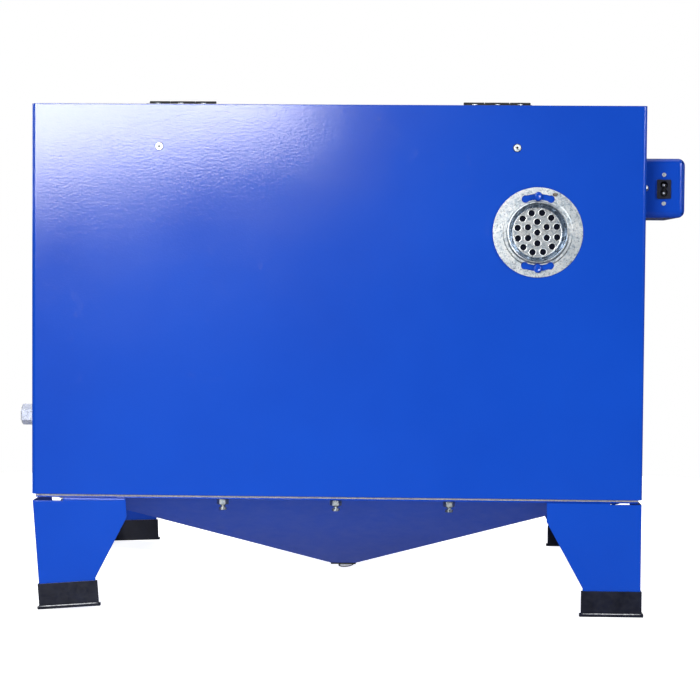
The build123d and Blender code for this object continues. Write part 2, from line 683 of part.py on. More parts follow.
def shut_lever(x):
    """Lever lying flat on its base."""
    with BuildPart() as lever:
        pivot_d, pivot_z = latch_pivot
        block((x - 9, x + 9), (body_d + 9.5, body_d + 11), (272, pivot_z + 3))
        flare = side_view((body_d + 9.5, 272), (body_d + 11, 272), (body_d + 15, 264), (body_d + 13.5, 264))
        prism(flare, (x - 9, x + 9))
        for cheek in (-1, 1):
            inner_x, outer_x = x + cheek * 7.5, x + cheek * 9
            web = side_view((body_d + 10.5, pivot_z + 3), (body_d + 10.5, 284), (body_d + 4.2, 300),
                            (body_d + 4.2, pivot_z + 3))
            prism(web, (inner_x, outer_x))
            rod((x + cheek * 11, y_of(pivot_d), pivot_z - bail_drop), 1.4, 4.5, "x")
        rod((x, y_of(pivot_d), pivot_z), 2.08, 30, "x", mode=Mode.SUBTRACT)
    return lever.part


def shut_bail(x):
    """Wire loop hooked over its keeper."""
    low_z = latch_pivot[1] - bail_drop
    plane = Plane(origin=(x, y_of(latch_pivot[0]), low_z), x_dir=(1, 0, 0), z_dir=(0, -1, 0))
    half = 14.8
    with BuildPart() as bail:
        with BuildLine(plane) as wire:
            FilletPolyline((-half, -3), (-half, bail_len), (half, bail_len), (half, -3), radius=4)
        with BuildSketch(Plane(origin=wire.line @ 0, z_dir=wire.line % 0)):
            Circle(wire_r)
        sweep(path=wire.line)
        for cheek in (-1, 1):
            rod((x + cheek * half, y_of(latch_pivot[0]), low_z), 3.2, 2.6, "x")
            rod((x + cheek * half, y_of(latch_pivot[0]), low_z), 1.48, 8, "x", mode=Mode.SUBTRACT)
    return bail.part


bail_pivot = (latch_pivot[0], latch_pivot[1] - bail_drop)
for side, side_name in ((-1, "left"), (1, "right")):
    swung = latch_turn(lever_open, latch_pivot)
    lever_solid = shut_lever(side * latch_x).moved(swung)
    bail_solid = shut_bail(side * latch_x).moved(swung * latch_turn(bail_ratio * lever_open, bail_pivot))
    with BuildPart() as latch_lever:
        add(lever_solid)
    save(latch_lever, f"latch_lever_{side_name}")
    with BuildPart() as latch_bail:
        add(bail_solid)
    save(latch_bail, f"latch_bail_{side_name}")

# ---- light box on the left wall ---------------------------------------------------------------------------
box_depth, box_z = (45, 165), (385.2, 443)
box_out, box_wall = half_w + side_proud, 2
with BuildPart() as light_box:
    block((-box_out, -half_w), box_depth, box_z)
    rounded = light_box.faces().sort_by(Axis.X)[0].edges() + light_box.edges().filter_by(Axis.X)
    fillet(rounded, 7)
    block((-box_out + box_wall, -half_w + 1), (box_depth[0] + box_wall, box_depth[1] - box_wall),
          (box_z[0] + box_wall + 1.5, box_z[1] - box_wall - 1.5), mode=Mode.SUBTRACT)
    block((inlet_x - 5.9, inlet_x + 5.9), (40, 60), (inlet_z - 8.4, inlet_z + 8.4), mode=Mode.SUBTRACT)
    block((inlet_x - 6.4, inlet_x + 6.4), (150, 170), (inlet_z - 9.4, inlet_z + 9.4), mode=Mode.SUBTRACT)
save(light_box, "light_box")

with BuildPart() as power_inlet:
    with BuildSketch(Plane(origin=(inlet_x, y_of(43.5), inlet_z), x_dir=(1, 0, 0), z_dir=(0, -1, 0))):
        RectangleRounded(13.5, 18.5, 0.8)
    extrude(amount=1.5)
    block((inlet_x - 5.8, inlet_x + 5.8), (44.9, 60), (inlet_z - 8.3, inlet_z + 8.3))
    for side in (-1, 1):
        rod((inlet_x, y_of(48.5), inlet_z + side * 3.9), 3.7, 10.2, "y", mode=Mode.SUBTRACT)
    block((inlet_x - 2.4, inlet_x + 2.4), (43, 53.6), (inlet_z - 4, inlet_z + 4), mode=Mode.SUBTRACT)
    for side in (-1, 1):
        rod((inlet_x, y_of(49.6), inlet_z + side * 3.9), 1.2, 8, "y")
save(power_inlet, "power_inlet")

rocker_depth = 165
with BuildPart() as light_switch_frame:
    block((inlet_x - 8, inlet_x + 8), (rocker_depth, rocker_depth + 1.8), (inlet_z - 11, inlet_z + 11))
    block((inlet_x - 6.2, inlet_x + 6.2), (150, rocker_depth + 0.1), (inlet_z - 9.2, inlet_z + 9.2))
    block((inlet_x - 5.2, inlet_x + 5.2), (154, 170), (inlet_z - 8, inlet_z + 8), mode=Mode.SUBTRACT)
save(light_switch_frame, "light_switch_frame")

rocker_throw = 16
tilt = rocker_throw / 2
with BuildPart() as level_rocker:
    face = side_view(
        (rocker_depth - 1, inlet_z + 7), (rocker_depth + 3.4, inlet_z + 7), (rocker_depth + 1.6, inlet_z),
        (rocker_depth + 3.4, inlet_z - 7), (rocker_depth - 1, inlet_z - 7), (rocker_depth - 5, inlet_z),
    )
    prism(face, (inlet_x - 4.9, inlet_x + 4.9))
rocker_pivot = (0, y_of(rocker_depth - 1), inlet_z)
rocked = Location(rocker_pivot) * Location((0, 0, 0), (tilt, 0, 0)) * Location(
    (0, -rocker_pivot[1], -rocker_pivot[2]))
with BuildPart() as light_rocker:
    add(level_rocker.part.moved(rocked))
save(light_rocker, "light_rocker")

with BuildPart() as transformer:
    block((-332, -303), (84, 132), (392, 435))
    for depth in (90, 126):
        block((-334, -301), (depth - 3, depth + 3), (398, 429))
save(transformer, "transformer")

# ---- lamp inside the back panel, and its lead -----------------------------------------------------------
with BuildPart() as lamp_bracket:
    block((-185, 185), (sheet, 2 * sheet), (lamp_z - 14, lamp_z + 13.5))
    block((-185, 185), (sheet, 30), (lamp_z + 12, lamp_z + 13.5))
    for side in (-1, 1):
        block((side * 180, side * 181.5), (sheet, 28), (lamp_z - 8, lamp_z + 13.5))
        rod((side * lamp_x, rear_y, lamp_z), 2.1, 20, "y", mode=Mode.SUBTRACT)
save(lamp_bracket, "lamp_bracket")

with BuildPart() as lamp_lens:
    block((-179.8, 179.8), (8, 28), (lamp_z - 7, lamp_z + 11.8))
    fillet(lamp_lens.edges().filter_by(Axis.X).group_by(Axis.Z)[0], 8)
save(lamp_lens, "lamp_lens")

lead_r = 2.2
lead_route = [
    (-303, lead_depth, lead_z), (-271, lead_depth, lead_z), (-248, 84, 432), (-229, 52, 444), (-208, 19, 452),
    (-181.5, 19, 452),
]
lead_points = [Vector(x, y_of(d), z) for x, d, z in lead_route]


def bend_radii(points, share=0.45):
    """Radius at each corner: as large as its two runs allow."""
    radii = []
    for a, b, c in zip(points, points[1:], points[2:]):
        turn = (b - a).get_angle(c - b)
        radii.append(share * min((b - a).length, (c - b).length) / tan(radians(turn) / 2))
    return radii


lead_radii = bend_radii(lead_points)
print("lamp lead radii", [round(r, 1) for r in lead_radii])
with BuildPart() as lamp_lead:
    with BuildLine() as lead_line:
        FilletPolyline(*lead_points, radius=lead_radii)
    with BuildSketch(Plane(origin=lead_line.line @ 0, z_dir=lead_line.line % 0)):
        Circle(lead_r)
    sweep(path=lead_line.line)
lead_length = lead_line.wire().length
print("lamp lead length", round(lead_length, 1), "volume share",
      round(lamp_lead.part.volume / (pi * lead_r**2 * lead_length), 4))
save(lamp_lead, "lamp_lead")

# ---- air inlet through the right wall -----------------------------------------------------------------------
port_bore, port_len = 5.7, 12
with BuildPart() as air_inlet:
    end_x = half_w + air_proud
    hexagon(((half_w + 8 + end_x) / 2, y_of(air_depth), air_z), 19, air_proud - 8, "x")
    chamfer(air_inlet.faces().sort_by(Axis.X)[-1].edges(), 1.2)
    rod((half_w - 4, y_of(air_depth), air_z), 6.5, 28, "x")
    for k in range(4):
        with Locations(Location((half_w - 20 - 4 * k, y_of(air_depth), air_z), (0, 90, 0))):
            Cone(5.2, 4.2, 4)
    rod((end_x, y_of(air_depth), air_z), port_bore, 2 * port_len, "x", mode=Mode.SUBTRACT)
    rod((half_w, y_of(air_depth), air_z), 2.6, 110, "x", mode=Mode.SUBTRACT)
save(air_inlet, "air_inlet")

with BuildPart() as air_inlet_nuts:
    for centre_x, length in ((half_w + 4, 8), (half_w - sheet - 3, 6)):
        hexagon((centre_x, y_of(air_depth), air_z), 22, length - 1.6, "x")
    rod((half_w + 0.4, y_of(air_depth), air_z), 12.5, 0.8, "x")
    rod((half_w - sheet - 0.4, y_of(air_depth), air_z), 12.5, 0.8, "x")
    rod((half_w, y_of(air_depth), air_z), 6.55, 40, "x", mode=Mode.SUBTRACT)
save(air_inlet_nuts, "air_inlet_nuts")

# ---- rivets -------------------------------------------------------------------------------------------------
with BuildPart() as pop_rivets:
    for side in (-1, 1):
        x = side * lamp_x
        rod((x, y_of(1.5), lamp_z), 2, 3, "y")
        rod((x, rear_y + 0.5, lamp_z), 3.4, 1, "y")
        rod((x, rear_y + 0.5, lamp_z), 1.2, 1.2, "y", mode=Mode.SUBTRACT)
        for shift in leaf_screws:
            rod((side * hinge_x + shift, y_of(23), top_z + sheet + 0.6), 2.6, 1.2, "z")
        for k in range(4):
            angle = radians(45 + 90 * k)
            centre = (side * port_x + 80.5 * cos(angle), y_of(body_d + 2), port_z + 80.5 * sin(angle))
            rod(centre, 3, 1.2, "y")
        rod((inlet_x, y_of(box_depth[0] - 0.4), inlet_z + side * 14), 2, 0.8, "y")
    for rivet_depth, rivet_z in box_rivets:
        rod((sheet / 2 - half_w, y_of(rivet_depth), rivet_z), 2, sheet, "x")
        rod((sheet + 0.5 - half_w, y_of(rivet_depth), rivet_z), 3.4, 1, "x")
save(pop_rivets, "pop_rivets")

# ---- glove ports, gloves and clamps ---------------------------------------------------------------------------
ring_depth = (body_d - 30, body_d + 12)
with BuildPart() as glove_ports:
    for side in (-1, 1):
        x = side * port_x
        length = ring_depth[1] - ring_depth[0]
        rod((x, y_of(sum(ring_depth) / 2), port_z), port_r, length, "y")
        rod((x, y_of(body_d + 0.7), port_z), 87, 1.4, "y")
        rod((x, y_of(ring_depth[1] - 2), port_z), port_r + 2.5, 4, "y")
        rod((x, y_of(body_d), port_z), port_r - 2, 100, "y", mode=Mode.SUBTRACT)
save(glove_ports, "glove_ports")

# (depth, half width, half height, centre height) from the cuff to the fingertips
glove_sections = [
    (464, 75.8, 75.8, 228), (438, 75.8, 75.8, 228), (385, 66, 66, 217), (310, 52, 50, 190), (240, 41, 36, 167),
    (190, 47, 24, 154), (140, 42, 19, 148.5), (104, 22, 12, 143),
]
skin = 1.7
hollow_to = 5


def glove_body(x, sections, thinner, mode):
    faces = []
    for depth, wide, high, z in sections:
        plane = Plane(origin=(x, y_of(depth), z), x_dir=(1, 0, 0), z_dir=(0, -1, 0))
        with BuildSketch(plane, mode=Mode.PRIVATE) as section:
            Ellipse(wide - thinner, high - thinner + 0.001)
        faces.append(section.sketch)
    loft(faces, ruled=True, mode=mode)


for side, side_name in ((-1, "left"), (1, "right")):
    with BuildPart() as glove:
        glove_body(side * port_x, glove_sections, 0, Mode.ADD)
        hollow = [(glove_sections[0][0] + 0.5,) + glove_sections[0][1:]] + glove_sections[1:hollow_to]
        glove_body(side * port_x, hollow, skin, Mode.SUBTRACT)
    save(glove, f"glove_{side_name}")

with BuildPart() as glove_clamps:
    for side in (-1, 1):
        x = side * port_x
        rod((x, y_of(451), port_z), 77, 9, "y")
        block((x - 9, x + 9), (446, 456), (port_z + 76, port_z + 86))
        rod((x, y_of(451), port_z), 75.9, 30, "y", mode=Mode.SUBTRACT)
save(glove_clamps, "glove_clamps")

# ---- work grate ---------------------------------------------------------------------------------------------
with BuildPart() as work_grate:
    block((-288, 288), (8, 434), (grate_z, grate_z + sheet))
    with Locations((0, y_of(221), grate_z)):
        with GridLocations(66, 17, 8, 23):
            Box(58, 8, 10, mode=Mode.SUBTRACT)
save(work_grate, "work_grate")

# ---- blast gun lying on the grate -----------------------------------------------------------------------------
gun_z = grate_z + sheet + 14.3
trigger_pivot = (20, 262)
with BuildPart() as gun_body:
    rod((0, y_of(265), gun_z), 14, 120, "y")
    rod((0, y_of(200), gun_z), 11, 12, "y")
    with BuildSketch(Plane.XY.offset(gun_z - 9)):
        with BuildLine():
            Polyline((0, y_of(290)), (0, y_of(322)), (78, y_of(350)), (84, y_of(322)), close=True)
        make_face()
    extrude(amount=18)
    rod((0, y_of(335), gun_z), 6, 24, "y")
    with Locations(Location((88, y_of(338), gun_z), (0, 90, -12))):
        Cylinder(6, 20)
    block((10, 26), (254, 270), (gun_z - 7, gun_z + 7))
    block((14.6, 27), (253, 271), (gun_z - 3, gun_z + 3), mode=Mode.SUBTRACT)
    rod((trigger_pivot[0], y_of(trigger_pivot[1]), gun_z), 2, 14, "z")
save(gun_body, "gun_body")

with BuildPart() as gun_nozzle:
    with Locations(Location((0, y_of(184.9), gun_z), (90, 0, 0))):
        Cone(9, 6.5, 18)
    with Locations(Location((0, y_of(175), gun_z), (90, 0, 0))):
        Cylinder(6.5, 6)
    rod((0, y_of(180), gun_z), 3, 60, "y", mode=Mode.SUBTRACT)
save(gun_nozzle, "gun_nozzle")

with BuildPart() as gun_trigger:
    rod((trigger_pivot[0], y_of(trigger_pivot[1]), gun_z), 4.5, 5.4, "z")
    with BuildSketch(Plane.XY.offset(gun_z - 2.7)):
        with BuildLine():
            Polyline((20, y_of(258)), (62, y_of(271)), (66, y_of(277)), (20, y_of(266)), close=True)
        make_face()
    extrude(amount=5.4)
    rod((trigger_pivot[0], y_of(trigger_pivot[1]), gun_z), 2.06, 20, "z", mode=Mode.SUBTRACT)
save(gun_trigger, "gun_trigger")
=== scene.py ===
"""Looks of the bench-top sandblast cabinet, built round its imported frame. Metres, +Z up, front towards -Y."""

import json  # noqa: E402
import math  # noqa: E402

import bmesh  # noqa: E402
import bpy  # noqa: E402
from mathutils import Matrix, Vector, noise  # noqa: E402


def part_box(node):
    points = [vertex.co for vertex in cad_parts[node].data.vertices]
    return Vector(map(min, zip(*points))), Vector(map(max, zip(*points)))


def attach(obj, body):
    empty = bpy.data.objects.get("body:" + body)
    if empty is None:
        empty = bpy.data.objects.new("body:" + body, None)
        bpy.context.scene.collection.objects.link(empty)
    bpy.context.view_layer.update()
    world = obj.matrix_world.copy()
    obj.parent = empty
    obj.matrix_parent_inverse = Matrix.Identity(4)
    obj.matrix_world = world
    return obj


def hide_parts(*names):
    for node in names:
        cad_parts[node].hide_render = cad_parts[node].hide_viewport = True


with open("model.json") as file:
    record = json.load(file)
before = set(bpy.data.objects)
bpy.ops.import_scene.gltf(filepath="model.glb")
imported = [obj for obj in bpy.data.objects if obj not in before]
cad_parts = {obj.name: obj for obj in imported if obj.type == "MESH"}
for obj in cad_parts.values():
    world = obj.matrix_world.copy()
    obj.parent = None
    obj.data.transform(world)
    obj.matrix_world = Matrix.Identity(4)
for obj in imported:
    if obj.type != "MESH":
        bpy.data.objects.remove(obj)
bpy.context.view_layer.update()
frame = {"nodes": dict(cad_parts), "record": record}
MM = 0.001
BEVEL_RAYS = 4


# ---- materials ----------------------------------------------------------------------------------------
class Shader:
    """A Principled material and short calls for the nodes that feed it."""

    def __init__(self, name):
        self.material = bpy.data.materials.new(name)
        self.material.use_nodes = True
        self.tree = self.material.node_tree
        self.principled = self.tree.nodes["Principled BSDF"]
        self.place = self.tree.nodes.new("ShaderNodeTexCoord").outputs["Object"]

    def set(self, **values):
        for name, value in values.items():
            self.principled.inputs[name.replace("_", " ")].default_value = value

    def link(self, output, socket):
        self.tree.links.new(output, self.principled.inputs[socket])

    def texture(self, kind, stretch, **values):
        """Outputs of a texture node on stretched object coordinates."""
        mapping = self.tree.nodes.new("ShaderNodeMapping")
        mapping.inputs["Scale"].default_value = stretch
        node = self.tree.nodes.new(kind)
        for name, value in values.items():
            node.inputs[name].default_value = value
        self.tree.links.new(self.place, mapping.inputs["Vector"])
        self.tree.links.new(mapping.outputs["Vector"], node.inputs["Vector"])
        return node.outputs

    def noise(self, scale, detail=2.0, rough=0.5, stretch=(1, 1, 1), distortion=0.0):
        return self.texture("ShaderNodeTexNoise", stretch, Scale=scale, Detail=detail, Roughness=rough,
                            Distortion=distortion)["Fac"]

    def cells(self, scale, stretch=(1, 1, 1)):
        """Distance from the middle of the nearest cell."""
        return self.texture("ShaderNodeTexVoronoi", stretch, Scale=scale)["Distance"]

    def ramp(self, value, *stops):
        """Colour ramp from (position, colour) stops; a colour may be one number for a grey."""
        node = self.tree.nodes.new("ShaderNodeValToRGB")
        elements = node.color_ramp.elements
        while len(elements) < len(stops):
            elements.new(0.5)
        for element, (position, colour) in zip(elements, stops):
            element.position = position
            grey = isinstance(colour, (int, float))
            element.color = (colour, colour, colour, 1) if grey else (*colour, 1)
        self.tree.links.new(value, node.inputs["Fac"])
        return node.outputs["Color"]

    def mix(self, share, first, second, kind="MIX"):
        """Two colours, each an output or an (r, g, b), by a share that is an output or a number."""
        node = self.tree.nodes.new("ShaderNodeMix")
        node.data_type = "RGBA"
        node.blend_type = kind
        for socket, value in ((node.inputs["Factor"], share), (node.inputs[6], first),
                              (node.inputs[7], second)):
            if isinstance(value, bpy.types.NodeSocket):
                self.tree.links.new(value, socket)
            elif isinstance(value, tuple):
                socket.default_value = (*value, 1)
            else:
                socket.default_value = value
        return node.outputs[2]

    def along(self, axis, low, high):
        """Share of the way between two places on an axis, from 0 to 1."""
        split = self.tree.nodes.new("ShaderNodeSeparateXYZ")
        share = self.tree.nodes.new("ShaderNodeMapRange")
        share.inputs["From Min"].default_value = low
        share.inputs["From Max"].default_value = high
        self.tree.links.new(self.place, split.inputs["Vector"])
        self.tree.links.new(split.outputs[axis], share.inputs["Value"])
        return share.outputs["Result"]

    def soft_edges(self, radius):
        """Normals of edges rounded to a radius, as a bent or moulded edge has."""
        node = self.tree.nodes.new("ShaderNodeBevel")
        node.samples = BEVEL_RAYS
        node.inputs["Radius"].default_value = radius
        self.tree.links.new(node.outputs["Normal"], self.principled.inputs["Normal"])
        return node.outputs["Normal"]

    def bump(self, height, distance, before=None):
        """Normals raised by a height of so many metres, on top of earlier normals if there are any."""
        node = self.tree.nodes.new("ShaderNodeBump")
        node.inputs["Strength"].default_value = 1.0
        node.inputs["Distance"].default_value = distance
        self.tree.links.new(height, node.inputs["Height"])
        if before is not None:
            self.tree.links.new(before, node.inputs["Normal"])
        self.tree.links.new(node.outputs["Normal"], self.principled.inputs["Normal"])
        return node.outputs["Normal"]


def blue_enamel(name="blue_enamel", dust_and_sheen_heights=None):
    """Glossy stove enamel with orange peel and faint rubbed patches; between two heights it greys towards the
    bottom, partly dust and partly a painted reflection of the floor.
    """
    s = Shader(name)
    s.set(IOR=1.5, Specular_IOR_Level=0.5, Coat_Weight=0.18, Coat_Roughness=0.34, Coat_IOR=1.5)
    colour = s.ramp(s.noise(5, 3, 0.55), (0.35, (0.0010, 0.051, 0.425)), (0.7, (0.0018, 0.060, 0.470)))
    if dust_and_sheen_heights:
        # grey share greater lower down: dust, and painted reflection of the floor below
        lower_down = s.ramp(s.along("Z", *dust_and_sheen_heights), (0.0, 0.20), (1.0, 0.05))
        blotches = s.ramp(s.noise(60, 5, 0.7, stretch=(1, 1, 0.5)), (0.3, 0.0), (0.7, 0.22))
        colour = s.mix(s.mix(0.3, lower_down, blotches), colour, (0.34, 0.34, 0.40))
    s.link(colour, "Base Color")
    rubbed = s.noise(38, 5, 0.7, stretch=(1, 1, 0.6), distortion=1.2)
    gloss = s.ramp(s.noise(14, 4, 0.6), (0.3, 0.10), (0.75, 0.14))
    s.link(s.mix(s.ramp(rubbed, (0.62, 0.0), (0.74, 0.5)), gloss, (0.3, 0.3, 0.3)), "Roughness")
    s.bump(s.noise(600, 2, 0.5, stretch=(0.8, 1, 1)), 0.00006, before=s.soft_edges(0.0017))
    return s.material


def zinc_plate(name="zinc_plate", shade=1.0):
    """Bright zinc: cloudy, finely scratched and a little uneven, so it breaks up what it mirrors."""
    s = Shader(name)
    s.set(Metallic=1.0)
    grains = s.noise(260, 5, 0.75, distortion=0.6)
    specks = s.ramp(s.noise(620, 3, 0.7), (0.32, (0.30, 0.31, 0.34)), (0.43, (1, 1, 1)))
    tones = ((0.34, (0.34, 0.40, 0.46)), (0.46, (0.60, 0.66, 0.71)), (0.55, (0.86, 0.86, 0.84)),
             (0.68, (0.55, 0.63, 0.72)))
    cloudy = s.ramp(grains, *((at, tuple(c * shade for c in colour)) for at, colour in tones))
    patches = s.ramp(s.noise(55, 3, 0.6), (0.35, (0.72, 0.76, 0.80)), (0.65, (1, 1, 1)))
    s.link(s.mix(1.0, s.mix(1.0, cloudy, specks, "MULTIPLY"), patches, "MULTIPLY"), "Base Color")
    scratch = s.noise(240, 3, 0.7, stretch=(1, 1, 7))
    s.link(s.ramp(scratch, (0.3, 0.30), (0.7, 0.50)), "Roughness")
    dents = s.bump(s.noise(170, 3, 0.6), 0.00014, before=s.soft_edges(0.0003))
    fine = s.bump(s.noise(800, 2, 0.5), 0.00004, before=dents)
    s.bump(scratch, 0.00002, before=fine)
    return s.material


def painted_light_look(name, dark, light, metallic, smoothest):
    """Light-coloured looks with painted highlights and reflections on small surfaces: hole rims, the cup's
    band, the drain's plug and the rubbed lips.
    """
    s = Shader(name)
    s.set(Metallic=metallic)
    s.link(s.ramp(s.noise(300, 4, 0.7), (0.35, dark), (0.65, light)), "Base Color")
    s.link(s.ramp(s.noise(420, 3, 0.6), (0.3, smoothest), (0.7, smoothest + 0.16)), "Roughness")
    s.bump(s.noise(700, 2, 0.5), 0.00005)
    return s.material


def nickel_plate():
    """Satin nickel, faintly blue, with turning marks."""
    s = Shader("nickel_plate")
    s.set(Metallic=0.5)
    s.link(s.ramp(s.noise(130, 3, 0.6), (0.3, (0.60, 0.65, 0.78)), (0.7, (0.80, 0.83, 0.90))), "Base Color")
    s.link(s.ramp(s.noise(300, 3, 0.6), (0.3, 0.22), (0.7, 0.38)), "Roughness")
    s.bump(s.noise(900, 2, 0.5, stretch=(4, 1, 1)), 0.00001, before=s.soft_edges(0.0004))
    return s.material


def black_enamel():
    s = Shader("black_enamel")
    s.link(s.ramp(s.noise(30, 3), (0.3, 0.008), (0.7, 0.016)), "Base Color")
    s.link(s.ramp(s.noise(180, 3), (0.3, 0.3), (0.7, 0.45)), "Roughness")
    s.bump(s.noise(600, 2), 0.00006)
    return s.material


def black_plastic():
    """Moulded plastic with a fine grain and faint scuffs."""
    s = Shader("black_plastic")
    base = s.ramp(s.noise(45, 4, 0.6), (0.3, (0.004, 0.005, 0.013)), (0.7, (0.010, 0.012, 0.026)))
    scuffs = s.ramp(s.noise(130, 5, 0.75, stretch=(1, 1, 3), distortion=1.5), (0.66, 0.0), (0.78, 0.6))
    s.link(s.mix(scuffs, base, (0.05, 0.055, 0.07)), "Base Color")
    s.set(Specular_IOR_Level=0.35)
    s.link(s.ramp(s.noise(260, 3), (0.3, 0.30), (0.7, 0.46)), "Roughness")
    s.bump(s.cells(1500), 0.00003, before=s.soft_edges(0.0006))
    return s.material


def foam():
    s = Shader("foam")
    s.link(s.ramp(s.noise(800, 2), (0.3, (0.38, 0.34, 0.29)), (0.7, (0.60, 0.56, 0.50))), "Base Color")
    s.set(Roughness=0.9)
    s.bump(s.cells(900), 0.0004)
    return s.material


def filter_pad():
    s = Shader("filter_pad")
    # near-black mat so the strainer's holes read dark: painted shade seen through them
    s.link(s.ramp(s.noise(700, 4, 0.7), (0.3, (0.004, 0.005, 0.010)), (0.7, (0.010, 0.012, 0.026))),
           "Base Color")
    s.set(Roughness=0.95, Specular_IOR_Level=0.1)
    s.bump(s.noise(1200, 3), 0.0005)
    return s.material


def glove_rubber():
    s = Shader("glove_rubber")
    s.link(s.ramp(s.noise(25, 4), (0.3, 0.010), (0.7, 0.022)), "Base Color")
    s.link(s.ramp(s.noise(90, 3), (0.3, 0.42), (0.7, 0.62)), "Roughness")
    s.set(Specular_IOR_Level=0.4)
    s.bump(s.noise(500, 3), 0.0001)
    return s.material


def clear_pane():
    s = Shader("clear_pane")
    s.set(Base_Color=(0.96, 0.985, 0.98, 1), Transmission_Weight=1.0, IOR=1.49)
    s.link(s.ramp(s.noise(40, 4), (0.35, 0.01), (0.75, 0.05)), "Roughness")
    return s.material


def lamp_diffuser():
    s = Shader("lamp_diffuser")
    s.link(s.ramp(s.noise(60, 2), (0.3, (0.80, 0.80, 0.77)), (0.7, (0.88, 0.88, 0.85))), "Base Color")
    s.set(Roughness=0.3, Subsurface_Weight=0.2)
    s.bump(s.cells(700, stretch=(0.05, 1, 1)), 0.0001)
    return s.material


def lead_sheath():
    s = Shader("lead_sheath")
    s.link(s.ramp(s.noise(80, 2), (0.3, 0.01), (0.7, 0.02)), "Base Color")
    s.set(Roughness=0.5)
    s.bump(s.noise(600, 2), 0.00005)
    return s.material


def gun_metal():
    s = Shader("gun_metal")
    s.set(Metallic=1.0)
    s.link(s.ramp(s.noise(40, 4, 0.6), (0.3, (0.30, 0.31, 0.33)), (0.7, (0.50, 0.51, 0.52))), "Base Color")
    s.link(s.ramp(s.noise(220, 3), (0.3, 0.36), (0.7, 0.55)), "Roughness")
    s.bump(s.noise(900, 3), 0.0001)
    return s.material


def ceramic():
    s = Shader("ceramic")
    s.link(s.ramp(s.noise(90, 3), (0.3, (0.62, 0.56, 0.45)), (0.7, (0.80, 0.76, 0.66))), "Base Color")
    s.link(s.ramp(s.noise(400, 2), (0.3, 0.3), (0.7, 0.5)), "Roughness")
    s.bump(s.noise(900, 2), 0.00005)
    return s.material


paint, black_paint, plastic = blue_enamel(), black_enamel(), black_plastic()
BY_SLOT = {
    "blue_paint": paint,
    "collar_paint": black_paint,
    "zinc_plate": zinc_plate(),
    "stud_paint": paint,
    "nickel_plate": nickel_plate(),
    "black_steel": black_paint,
    "black_plastic": plastic,
    "foam": foam(),
    "filter_pad": filter_pad(),
    "glove_rubber": glove_rubber(),
    "clear_pane": clear_pane(),
    "lamp_diffuser": lamp_diffuser(),
    "transformer_case": plastic,
    "lead_sheath": lead_sheath(),
    "gun_metal": gun_metal(),
    "ceramic": ceramic(),
}

slot_of = {row["node"]: row["material_slot"] for row in frame["record"]["subparts"]}
for node, obj in frame["nodes"].items():
    obj.data.materials.clear()
    obj.data.materials.append(BY_SLOT[slot_of[node]])
OWN_LOOK = {
    "vent_strainer": zinc_plate("strainer_zinc", 0.66),
    # pale, barely metallic plug: painted reflection of the white floor in its zinc face
    "drain_plug": painted_light_look("plug_floor_reflection", (0.80, 0.82, 0.86), (0.93, 0.93, 0.93), 0.15, 0.4),
    "hopper": blue_enamel("dust_and_floor_sheen_enamel", [corner.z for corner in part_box("hopper")]),
}
for node, material in OWN_LOOK.items():
    frame["nodes"][node].data.materials[0] = material

# ---- camera -------------------------------------------------------------------------------------------
REAR_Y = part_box("back_panel")[1].y
YAW, PITCH, ROLL = (math.radians(a) for a in (1.92, 2.53, 0.42))
LENS = 98.64  # mm, on a sensor 36 mm wide
CAMERA_SPOT = (-0.0749, REAR_Y + 1.841, 0.3366)
camera_data = bpy.data.cameras.new("camera")
camera = bpy.data.objects.new("camera", camera_data)
bpy.context.scene.collection.objects.link(camera)
bpy.context.scene.camera = camera
camera_data.sensor_width = 36
camera_data.lens = LENS
camera_data.clip_end = 100
forward = Vector((math.sin(YAW) * math.cos(PITCH), -math.cos(YAW) * math.cos(PITCH), -math.sin(PITCH)))
level = Vector((-math.cos(YAW), -math.sin(YAW), 0))
upright = level.cross(forward)
right = level * math.cos(ROLL) + upright * math.sin(ROLL)
up = upright * math.cos(ROLL) - level * math.sin(ROLL)
camera.matrix_world = Matrix.Translation(CAMERA_SPOT) @ Matrix((right, up, -forward)).transposed().to_4x4()


# ---- floor, backdrop and light --------------------------------------------------------------------------
def area_light(name, place, size, radiance, target=None, turn=None):
    """Rectangular light by its surface brightness, aimed at a point or turned by a matrix."""
    data = bpy.data.lights.new(name, "AREA")
    data.shape = "RECTANGLE"
    data.size, data.size_y = size
    data.energy = radiance * math.pi * size[0] * size[1]
    light = bpy.data.objects.new(name, data)
    bpy.context.scene.collection.objects.link(light)
    if turn is None:
        turn = (Vector(place) - Vector(target)).to_track_quat("Z", "Y").to_matrix()
    light.matrix_world = Matrix.Translation(place) @ turn.to_4x4()


def seen_or_not(tree, unseen, seen, socket):
    """One strength for the light that the stage gives, another for how bright it looks."""
    path = tree.nodes.new("ShaderNodeLightPath")
    mix = tree.nodes.new("ShaderNodeMix")
    mix.data_type = "FLOAT"
    mix.inputs["A"].default_value = unseen
    mix.inputs["B"].default_value = seen
    tree.links.new(path.outputs["Is Camera Ray"], mix.inputs["Factor"])
    tree.links.new(mix.outputs["Result"], socket)


